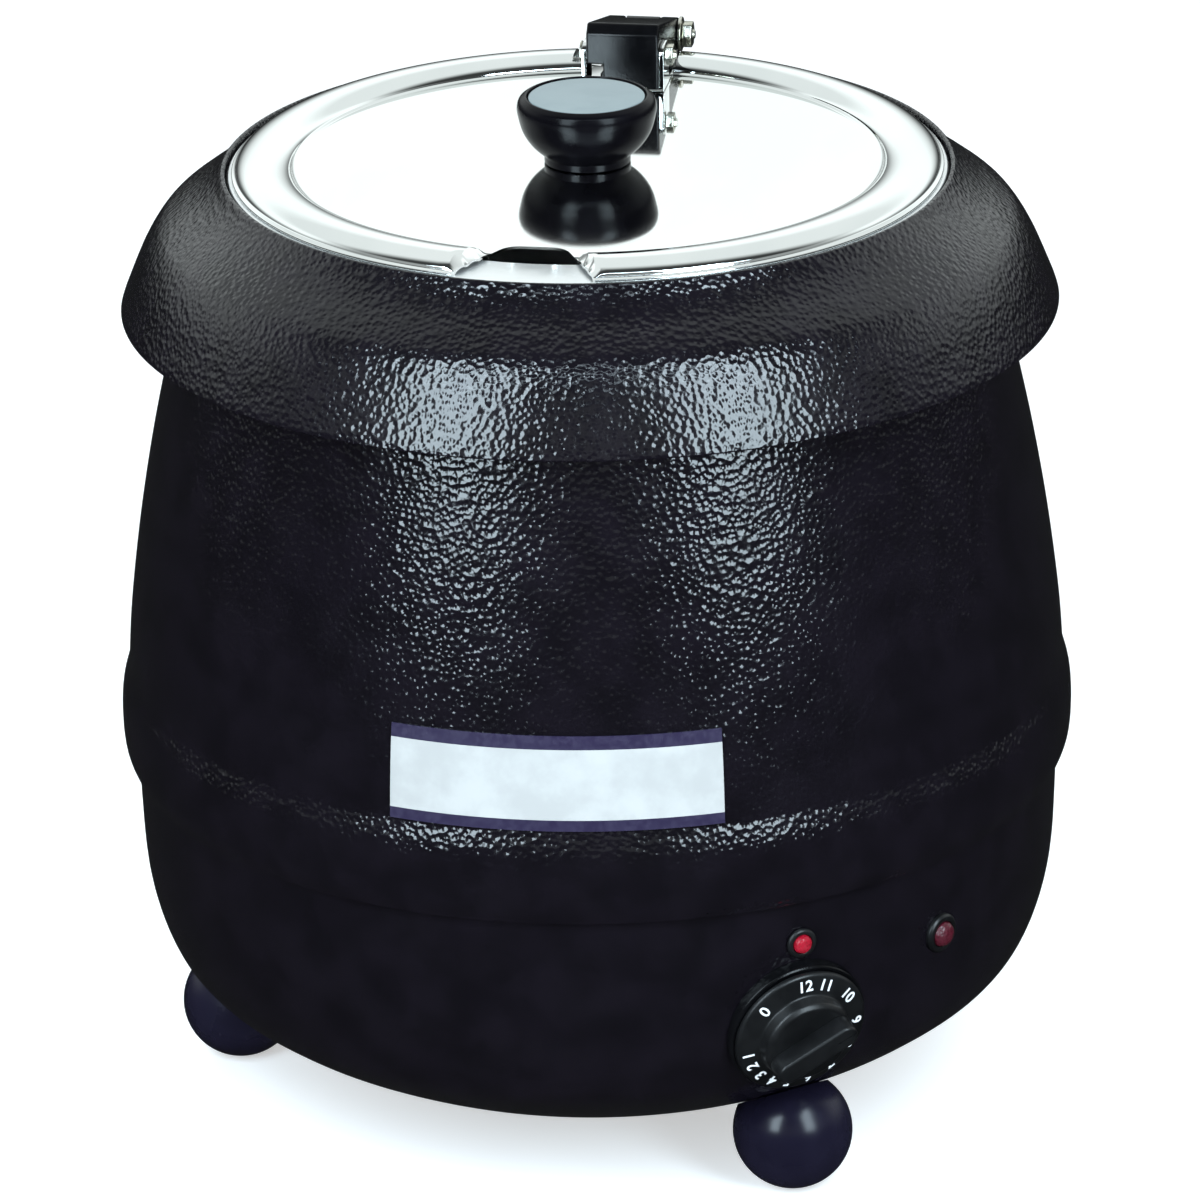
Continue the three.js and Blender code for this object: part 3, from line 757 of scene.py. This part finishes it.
# ---- Water well ------------------------------------------------------------------------------


def make_well():
    low, high = span("water_well")
    flange = high.z - THIN
    outer = high.x - 6.4
    inner = outer - THIN
    bend = 10
    centre = (outer - bend, low.z + bend)
    outline = [
        (0, low.z), *arc(centre, bend, -90, 0, 8), (outer, flange), (high.x, flange),
        (high.x, high.z), (inner, high.z), *arc(centre, bend - THIN, 0, -90, 8), (0, low.z + THIN),
    ]
    piece = revolved("water_well_surface", softened(outline, 0.5, least=30), 144)
    settle(piece, "satin_steel", "kettle", "water_well")


def make_seal():
    low, high = span("well_seal")
    inner = high.x - 3.6
    outline = [(inner, low.z), (high.x, low.z), (high.x, high.z), (inner, high.z)]
    piece = revolved("well_seal_surface", softened(outline, 0.2), 144)
    settle(piece, "silicone", "kettle", "well_seal")


# ---- Inner pot and rim clamp -----------------------------------------------------------------


def make_pot():
    low, high = span("inner_pot")
    rim = high.z
    outer = high.x - 21
    inner = outer - THIN
    corner = (outer - 12, low.z + 12)
    outline = [
        (0, low.z), *arc(corner, 12, -90, 0, 12), (outer, rim - 1.3), (high.x, rim - 1.3),
        (high.x, rim), (inner + 1.6, rim), (inner + 0.4, rim - 0.5), (inner, rim - 1.6),
        *arc(corner, 12 - THIN, 0, -90, 12), (0, low.z + THIN),
    ]
    piece = revolved("inner_pot_surface", softened(outline, 0.5, least=30), 160)
    settle(piece, "polished_steel", "pot", "inner_pot", look="spun_steel")


PIN = Vector(joint("lid_hinge")["pos_m"]) / MM
CLAMP_LOW, CLAMP_HIGH = span("rim_clamp")


def clamp_screw_holes():
    places = [upright(side * 9, middle("clamp_screw_left").y) for side in (-1, 1)]
    return [rod("tool", SCREW_HOLE, *RIM_ZONE, place) for place in places]


def make_clamp():
    half = CLAMP_HIGH.x
    top = span("inner_pot")[1].z + GAP + 1.7
    y0, y1 = CLAMP_LOW.y, CLAMP_HIGH.y
    base = block("rim_clamp_surface", (-half, y0, top - 1.7), (half, y1, top))
    leg = block("tool", (-half, y1 - 7.2, CLAMP_LOW.z), (half, y1, top - 0.2))
    rounded = [(-6, top - 1 - PIN.z), (6, top - 1 - PIN.z), *arc((0, 0), 6, 0, 180, 24)]
    knuckle = prism("tool", rounded, (-6, 6), across(PIN.y, PIN.z))
    fuse(base, leg, knuckle)
    bevel(base, 0.45)
    cut(base, rod("tool", PIN_HOLE, -10, 10, across(PIN.y, PIN.z)), *clamp_screw_holes())
    settle(base, "moulded_black", "pot", "rim_clamp")


def make_jaw():
    low, high = span("clamp_jaw")
    jaw = bevel(block("clamp_jaw_surface", low, high), 0.6)
    cut(jaw, *clamp_screw_holes())
    settle(jaw, "moulded_black", "pot", "clamp_jaw")


def make_clamp_screws():
    for side in ("left", "right"):
        make_screw(f"clamp_screw_{side}", "fastener_steel", "pot", (3, 2), 1.4, 1.5)


# ---- Lid and knob ----------------------------------------------------------------------------

LID_LOW, LID_HIGH = span("lid")
LID_EDGE = LID_HIGH.x
LID_SHEET = 0.9
PANEL = LID_LOW.z + 1.3
BEAD = LID_EDGE - 11.3
RIVETS = [middle(f"bracket_rivet_{end}") for end in ("front", "rear")]
NOTCH_CENTRE = -2.4
NOTCH_INNER = -92
NOTCH_NEAR = 9.8
NOTCH_LEAN = 0.492
BEAD_END = (-0.5, 3)
HINGE_SLOT = ((-22.5, 103), (15.6, 135))
KNOB_HOLE = 2.8


def make_lid():
    crest = LID_HIGH.z - PANEL
    half = 9.9

    def bead(width, height):
        steps = [math.radians(a) for a in range(4, 180, 8)]
        return [(BEAD + math.cos(a) * width, PANEL - 0.2 + math.sin(a) * height) for a in steps]

    over = bead(half, crest + 0.2)
    under = bead(half - LID_SHEET, crest + 0.2 - LID_SHEET)[::-1]
    outline = [
        (0, PANEL - LID_SHEET), (BEAD - half, PANEL - LID_SHEET), *under,
        (LID_EDGE - 1.4, PANEL - 1.3), (LID_EDGE, PANEL - 1.3), (LID_EDGE, PANEL - 0.4),
        (LID_EDGE - 0.8, PANEL - 0.2), *over, (BEAD - half - 0.8, PANEL), (0, PANEL),
    ]
    piece = revolved("lid_surface", softened(outline, 0.45, least=24), 384)
    flatten_bead(piece, half, crest)
    (x0, y0), (x1, y1) = HINGE_SLOT
    tools = [notch_tool(), block("tool", (x0, y0, PANEL - 8), (x1, y1, PANEL + 12))]
    tools.append(rod("tool", KNOB_HOLE, PANEL - 10, PANEL + 10))
    tools += [rod("tool", SCREW_HOLE, PANEL - 10, PANEL + 10, upright(r.x, r.y)) for r in RIVETS]
    cut(piece, *tools)
    flatten_shading(piece)
    settle(piece, "polished_steel", "lid", "lid")


def flatten_shading(piece):
    """Level faces keep their own normal, so the panel mirrors without a ripple."""
    for face in piece.data.polygons:
        if abs(face.normal.z) > 0.99999:
            face.use_smooth = False


def flatten_bead(piece, half, crest):
    """Lower the bead until it meets the panel where the ladle notch cuts across it."""
    for vertex in piece.data.vertices:
        x, y = (vertex.co / MM).xy
        across_bead = (math.hypot(x, y) - BEAD) / half
        if abs(across_bead) >= 1 or y > 0:
            continue
        clear = abs(x - NOTCH_CENTRE) - NOTCH_NEAR - (NOTCH_INNER - y) * NOTCH_LEAN
        t = min(max((clear - BEAD_END[0]) / (BEAD_END[1] - BEAD_END[0]), 0), 1)
        height = crest * math.sqrt(1 - across_bead**2)
        vertex.co.z -= (1 - t * t * (3 - 2 * t)) * height * MM


def notch_tool():
    """The ladle notch: a keystone opening with two rounded inner corners."""
    centre, inner, outer = NOTCH_CENTRE, NOTCH_INNER, -130
    near, fillet, lean = NOTCH_NEAR, 5, NOTCH_LEAN
    far = near + (inner - outer) * lean

    def corner(side):
        points = []
        for k in range(9):
            t = k / 8
            x = near + fillet * (lean * (1 - t) ** 2 - t**2)
            points.append((centre + side * x, inner - fillet * (1 - t) ** 2))
        return points

    outline = [(centre - far, outer), *corner(-1), *corner(1)[::-1], (centre + far, outer)]
    return prism("tool", outline, (PANEL - 8, PANEL + 12))


def make_knob():
    low, high = span("knob_body")
    foot, top, edge = low.z, high.z, high.x
    neck = edge - 9.3
    cap = spline(
        [
            (neck, foot + 2.6), (edge - 4.9, foot + 6.7), (edge - 1.9, foot + 11.4),
            (edge - 0.4, foot + 16.6), (edge, foot + 19.8), (edge - 0.8, top - 1.4),
            (edge - 2.8, top),
        ],
        8,
    )
    seat = top - 1.7
    outline = [
        (KNOB_HOLE, foot), (neck, foot), *cap, (edge - 3.5, top), (edge - 3.5, seat), (0, seat),
        (0, foot + 12.5), (KNOB_HOLE, foot + 12.5),
    ]
    piece = revolved("knob_body_surface", softened(outline, 0.5, least=30), 128)
    settle(piece, "gloss_black", "lid", "knob_body", look="cap_black")


def make_knob_disc():
    low, high = span("knob_disc")
    edge = high.x
    outline = [
        (0, low.z), (edge, low.z), (edge, high.z - 0.3), (edge - 0.5, high.z), (0, high.z),
    ]
    piece = revolved("knob_disc_surface", softened(outline, 0.4), 128)
    settle(piece, "satin_aluminium", "lid", "knob_disc")


def make_knob_fixings():
    make_screw("knob_screw", "fastener_steel", "lid", (4.5, 3.4), 3, 2.4)
    low, high = span("knob_washer")
    outline = [(KNOB_HOLE, low.z), (high.x, low.z), (high.x, high.z), (KNOB_HOLE, high.z)]
    washer = revolved("knob_washer_surface", softened(outline, 0.3), 64)
    settle(washer, "fastener_steel", "lid", "knob_washer")


# ---- Hinge -----------------------------------------------------------------------------------

BOLT = middle("arm_nut")
ARM_LOW, ARM_HIGH = span("hinge_arm")


def make_bracket():
    low, high = span("lid_bracket")
    thick = 1.5
    corner = 4
    base = block("lid_bracket_surface", low, (high.x, high.y, low.z + thick))
    rear = low.y + 13
    ear = [
        (low.y, low.z), (rear, low.z),
        *arc((rear - corner, high.z - corner), corner, 0, 90, 10),
        *arc((low.y + corner, high.z - corner), corner, 90, 180, 10),
    ]
    sides = ((low.x, low.x + thick), (high.x - thick, high.x))
    fuse(base, *[prism("tool", ear, depth, across(0, 0)) for depth in sides])
    bevel(base, 0.35)
    holes = [rod("tool", SCREW_HOLE, low.z - 5, low.z + 5, upright(r.x, r.y)) for r in RIVETS]
    cut(base, rod("tool", 2.2, -20, 20, across(BOLT.y, BOLT.z)), *holes)
    settle(base, "polished_steel", "lid", "lid_bracket")


def make_rivets():
    for end in ("front", "rear"):
        node = f"bracket_rivet_{end}"
        low, high = span(node)
        centre = middle(node)
        head, shank = high.x - centre.x, 1.5
        neck_low, neck_high = low.z + 1.1, high.z - 1.4
        outline = [
            (0, low.z), (head * 0.7, low.z + 0.2), (head, neck_low), (shank, neck_low),
            (shank, neck_high), (head, neck_high), (head * 0.8, high.z - 0.5), (0, high.z),
        ]
        place = upright(centre.x, centre.y)
        piece = revolved(f"{node}_surface", softened(outline, 0.35, least=15), 40, place)
        settle(piece, "fastener_steel", "lid", node)


def make_arm():
    underside = PANEL + 4.4
    front, top, half = ARM_LOW.y, ARM_HIGH.z, ARM_HIGH.x
    step = 3.5
    outline = [
        (front, ARM_LOW.z), (front + step, ARM_LOW.z), (front + step, underside), (113, underside),
        *arc((PIN.y, PIN.z), 6, -125, 75.8, 24), (front + step, top), (front, top - 3.4),
    ]
    piece = prism("hinge_arm_surface", outline, (-half, half), across(0, 0))
    slot = block("tool", (-6.6, 116, 330), (6.6, 140, 370))
    relief = block("tool", (-20, 70, 330), (-7, 113, PANEL + 10))
    cut(piece, slot, relief)
    bevel(piece, 0.8, 4)
    cut(
        piece,
        rod("tool", PIN_HOLE, -20, 20, across(PIN.y, PIN.z)),
        rod("tool", PIN_HOLE, -20, 20, across(BOLT.y, BOLT.z)),
    )
    settle(piece, "moulded_black", "lid", "hinge_arm")


def threaded_rod(name, radius, low, high, thread_from, place):
    """A plain shank whose last stretch has a fine thread, with a chamfered end."""
    pitch, depth = 0.7, 0.28
    outline = [(0, low), (radius, low), (radius, thread_from)]
    turns = int((high - 0.5 - thread_from) / pitch)
    for k in range(turns):
        start = thread_from + k * pitch
        outline += [(radius - depth, start + pitch / 2), (radius, start + pitch)]
    outline += [(radius - 0.5, high), (0, high)]
    return revolved(name, outline, 32, place)


def hexagon(radius):
    return arc((0, 0), radius, 0, 300, 5)


def make_bolt_and_pin():
    """Low round heads with a hexagon recess on the left, threads for the nuts on the right."""
    for node, at, head, thick in (("arm_bolt", BOLT, 4, 0.8), ("hinge_pin", PIN, 4.6, 0.9)):
        low, high = span(node)
        place = across(at.y, at.z)
        disc = [(0, low.x), (head, low.x), (head, low.x + thick), (0, low.x + thick)]
        piece = revolved(f"{node}_surface", softened(disc, 0.35), 64, place)
        fuse(piece, threaded_rod("tool", 1.9, low.x + 0.4, high.x, 12, place))
        cut(piece, prism("tool", hexagon(1.2), (low.x - 1, low.x + 0.5), place))
        settle(piece, "fastener_steel", "lid", node)


def make_nuts():
    for node, at in (("arm_nut", BOLT), ("pin_nut", PIN)):
        low, high = span(node)
        radius = (high.z - low.z) / 2
        place = across(at.y, at.z)
        nut = bevel(prism(f"{node}_surface", hexagon(radius), (low.x, high.x), place), 0.45)
        cut(nut, rod("tool", 2.2, low.x - 2, high.x + 2, place))
        settle(nut, "fastener_steel", "lid", node)
    low, high = span("pin_washer")
    outline = [(2.2, low.x), (6.3, low.x), (6.3, high.x), (2.2, high.x)]
    washer = revolved("pin_washer_surface", softened(outline, 0.3), 64, across(PIN.y, PIN.z))
    settle(washer, "fastener_steel", "lid", "pin_washer")


# ---- Dial, lamps and inlet -------------------------------------------------------------------


def make_plinth():
    outline = [(5, -8), (25.6, -8), (25.6, 0.6), (25, 1.2), (5, 1.2)]
    piece = revolved("dial_plinth_surface", softened(outline, 0.3), 128, DIAL)
    cut(piece, bowl_volume())
    settle(piece, "moulded_black", "kettle", "dial_plinth")


def make_dial():
    skirt = [
        (0, 1.6), (24.4, 1.6), (24.4, 3), (23.8, 3.8), (16.6, 5.4), (16, 9.4), (14.6, 10.8),
        (0, 10.8),
    ]
    piece = revolved("dial_knob_surface", softened(skirt, 0.7, least=15), 128, DIAL)
    half, end = 4.2, 11.5
    bar = [*arc((end, 0), half, -90, 90, 16), *arc((-end, 0), half, 90, 270, 16)]
    turned = DIAL @ Matrix.Rotation(math.radians(28), 4, "Z")
    grip = bevel(prism("tool", bar, (10.2, 18.2), turned), 1.1, 4)
    fuse(piece, grip)
    bore = rod("tool", 3.3, 0, 8.6, DIAL)
    line = block("tool", (8, -0.5, 17.8), (15, 0.5, 20), turned)
    cut(piece, bore, line)
    settle(piece, "gloss_black", "dial", "dial_knob", look="satin_black")


def make_numbers():
    """White figures round the dial's skirt: 0, then 1 to 12 anticlockwise."""
    angles = (140, 194, 209, 225, 242, 260, 282, 307, 334, 3, 39, 70, 93)
    slope = math.atan2(5.4 - 3.8, 23.8 - 16.6)
    for text, angle in enumerate(angles):
        curve = bpy.data.curves.new("figure", "FONT")
        curve.body = str(text)
        curve.size = 5.8 * MM
        curve.extrude = 0.06 * MM
        curve.offset = 0.1 * MM
        curve.align_x = "CENTER"
        curve.align_y = "CENTER"
        text_object = bpy.data.objects.new("figure", curve)
        bpy.context.scene.collection.objects.link(text_object)
        graph = bpy.context.evaluated_depsgraph_get()
        mesh = bpy.data.meshes.new_from_object(text_object.evaluated_get(graph))
        bpy.data.objects.remove(text_object)
        place = (
            DIAL
            @ Matrix.Rotation(math.radians(angle - 90), 4, "Z")
            @ Matrix.Translation(Vector((0, 20.3, 4.72)) * MM)
            @ Matrix.Rotation(-slope, 4, "X")
        )
        mesh.transform(place)
        piece = bpy.data.objects.new(f"dial_figure_{text}", mesh)
        bpy.context.scene.collection.objects.link(piece)
        settle(piece, "gloss_black", "dial", look="marking_white")


def make_lamp(name, place, size, look):
    bezel = [
        (0, -9), (4.6, -9), (4.6, 0.3), (5.4, 0.3), (5.4, 1.3), (4.8, LAMP_RIM),
        (3.6, LAMP_RIM), (3.6, -1), (0, -1),
    ]
    piece = revolved(
        f"{name}_bezel_surface", softened([(r * size, z * size) for r, z in bezel], 0.3), 64, place
    )
    settle(piece, "gloss_black", "kettle", f"{name}_bezel", look="satin_black")
    lens = [(0, -0.7), (3.4, -0.7), (3.4, 1.9), (2.9, 2.9), (2.3, 3.4), (1.4, 3.75), (0, 3.9)]
    outline = softened([(r * size, z * size) for r, z in lens], 0.4, least=12)
    piece = revolved(f"{name}_lens_surface", outline, 64, place)
    settle(piece, "red_lens", "kettle", f"{name}_lens", look=look)


def make_inlet():
    outline = [(3.6, -7), (7, -7), (7, 0.4), (11, 0.4), (11, 2), (9.6, 3), (4.4, 3), (3.6, 2.2)]
    piece = revolved("cord_inlet_surface", softened(outline, 0.5), 64, INLET)
    settle(piece, "moulded_black", "kettle", "cord_inlet")


# ---- Pieces shown as the frame has them ------------------------------------------------------


def finish_plain_nodes():
    """Inner pieces that only show with the pot out or not at all keep their CAD shape."""
    slots = {s["node"]: s["material_slot"] for s in frame["record"]["subparts"]}
    for name, node in frame["nodes"].items():
        if node.type != "MESH":
            continue
        node.data.materials.clear()
        node.data.materials.append(LOOKS[slots[name]])


# ---- Studio ----------------------------------------------------------------------------------


def make_floor():
    bm = bmesh.new()
    size = 9
    corners = [bm.verts.new((x * size, y * size, 0)) for x, y in ((-1, -1), (1, -1), (1, 1), (-1, 1))]
    bm.faces.new(corners)
    floor = new_piece("floor", bm)
    look = Look("floor", IOR=1.3)
    look.colour(look.noise(3, 2), (0.3, 0.7), (0.80, 0.80, 0.81), (0.84, 0.84, 0.85))
    look.roughness(look.noise(8, 2), (0.3, 0.7), (0.6, 0.7))
    look.shader.inputs["Emission Color"].default_value = (1, 1, 1, 1)
    look.shader.inputs["Emission Strength"].default_value = 0.5
    floor.data.materials.append(look.material)
    floor.visible_glossy = False


def softbox(name, bearing, elevation, distance, size, radiance):
    light = bpy.data.lights.new(name, "AREA")
    light.shape = "RECTANGLE"
    light.size, light.size_y = size
    light.energy = radiance * math.pi * size[0] * size[1]
    light.color = (0.74, 0.9, 1)
    x, y = on_bearing(bearing, 1)
    rise = math.radians(elevation)
    towards = Vector((x * math.cos(rise), y * math.cos(rise), math.sin(rise)))
    holder = bpy.data.objects.new(name, light)
    holder.location = CAMERA_TARGET + towards * distance
    holder.rotation_euler = towards.to_track_quat("Z", "Y").to_euler()
    holder.visible_camera = False
    bpy.context.scene.collection.objects.link(holder)


REAR_FADE = (-0.2, 0.3, 1)
RISE_FADE = (-0.1, 0.35, 0.9)
SKY_BAND = ((0.1, 0.02), (0.28, 0.38), (0.45, 0.38), (0.58, 0.05))
SIDE_BOX = {"elevation": 29, "distance": 1.15, "size": (0.36, 0.85), "radiance": 15.5}
TOP_BOX = {"elevation": 50, "distance": 1.35, "size": (2.4, 0.09), "radiance": 7}


def sky_strength(tree):
    """Bright behind the kettle and above the horizon, and a dim band low down all round."""
    link = tree.links.new

    def fade(source, low, high, value):
        node = tree.nodes.new("ShaderNodeMapRange")
        node.interpolation_type = "SMOOTHSTEP"
        node.inputs["From Min"].default_value = low
        node.inputs["From Max"].default_value = high
        node.inputs["To Max"].default_value = value
        link(source, node.inputs["Value"])
        return node.outputs[0]

    direction = tree.nodes.new("ShaderNodeTexCoord").outputs["Generated"]
    facing = tree.nodes.new("ShaderNodeVectorMath")
    facing.operation = "DOT_PRODUCT"
    facing.inputs[1].default_value = (*on_bearing(CAMERA_BEARING + 180, 1), 0)
    link(direction, facing.inputs[0])
    height = tree.nodes.new("ShaderNodeSeparateXYZ")
    link(direction, height.inputs[0])
    band = tree.nodes.new("ShaderNodeValToRGB")
    for position, value in SKY_BAND:
        stop = band.color_ramp.elements.new(position)
        stop.color = (value, value, value, 1)
    band.color_ramp.elements.remove(band.color_ramp.elements[-1])
    band.color_ramp.elements[0].color = (0.02, 0.02, 0.02, 1)
    link(height.outputs["Z"], band.inputs[0])
    total = tree.nodes.new("ShaderNodeMath")
    total.operation = "MULTIPLY_ADD"
    link(fade(facing.outputs["Value"], *REAR_FADE), total.inputs[0])
    link(fade(height.outputs["Z"], *RISE_FADE), total.inputs[1])
    link(band.outputs[0], total.inputs[2])
    return total.outputs[0]


def make_sky():
    """The studio's own light on the kettle, and plain white where the camera sees past it."""
    world = bpy.data.worlds.new("studio")
    bpy.context.scene.world = world
    world.use_nodes = True
    tree = world.node_tree
    tree.nodes.clear()
    link = tree.links.new
    studio = tree.nodes.new("ShaderNodeBackground")
    studio.inputs["Color"].default_value = (0.93, 1, 1, 1)
    link(sky_strength(tree), studio.inputs["Strength"])
    plain = tree.nodes.new("ShaderNodeBackground")
    plain.inputs["Color"].default_value = (1, 1, 1, 1)
    mix = tree.nodes.new("ShaderNodeMixShader")
    link(tree.nodes.new("ShaderNodeLightPath").outputs["Is Camera Ray"], mix.inputs[0])
    link(studio.outputs[0], mix.inputs[1])
    link(plain.outputs[0], mix.inputs[2])
    out = tree.nodes.new("ShaderNodeOutputWorld")
    link(mix.outputs[0], out.inputs["Surface"])


def make_lights():
    """The sky, a tall box on each side of the camera and a thin bar above it."""
    make_sky()
    for side, turn in (("left", -33.5), ("right", 34.5)):
        softbox(f"{side}_softbox", CAMERA_BEARING + turn, **SIDE_BOX)
    softbox("top_softbox", CAMERA_BEARING, **TOP_BOX)


def make_camera():
    camera = bpy.data.objects.new("camera", bpy.data.cameras.new("camera"))
    camera.data.sensor_width = 36
    camera.data.lens = CAMERA_LENS
    camera.data.clip_end = 50
    rise = math.radians(CAMERA_ELEVATION)
    offset = Vector((0, -math.cos(rise), math.sin(rise))) * CAMERA_DISTANCE
    turn = Matrix.Rotation(math.radians(CAMERA_BEARING), 4, "Z")
    camera.location = turn @ (CAMERA_TARGET + offset)
    view = (turn @ offset).to_track_quat("Z", "Y").to_matrix().to_4x4()
    roll = Matrix.Rotation(math.radians(CAMERA_ROLL), 4, "Z")
    camera.rotation_euler = (view @ roll).to_euler()
    bpy.context.scene.collection.objects.link(camera)
    bpy.context.scene.camera = camera


# ---- Everything ------------------------------------------------------------------------------

finish_plain_nodes()
make_body_shell()
make_collar()
make_bowl()
make_base_plate()
make_base_screws()
make_feet()
make_label()
make_well()
make_seal()
make_pot()
make_clamp()
make_jaw()
make_clamp_screws()
make_lid()
make_knob()
make_knob_disc()
make_knob_fixings()
make_bracket()
make_rivets()
make_arm()
make_bolt_and_pin()
make_nuts()
make_plinth()
make_dial()
make_numbers()
make_lamp("power", POWER, 1, "red_lens")
make_lamp("heat", HEAT, HEAT_SIZE, "dull_lens")
make_inlet()
make_floor()
make_lights()
make_camera()
bpy.context.scene.view_settings.view_transform = "Standard"
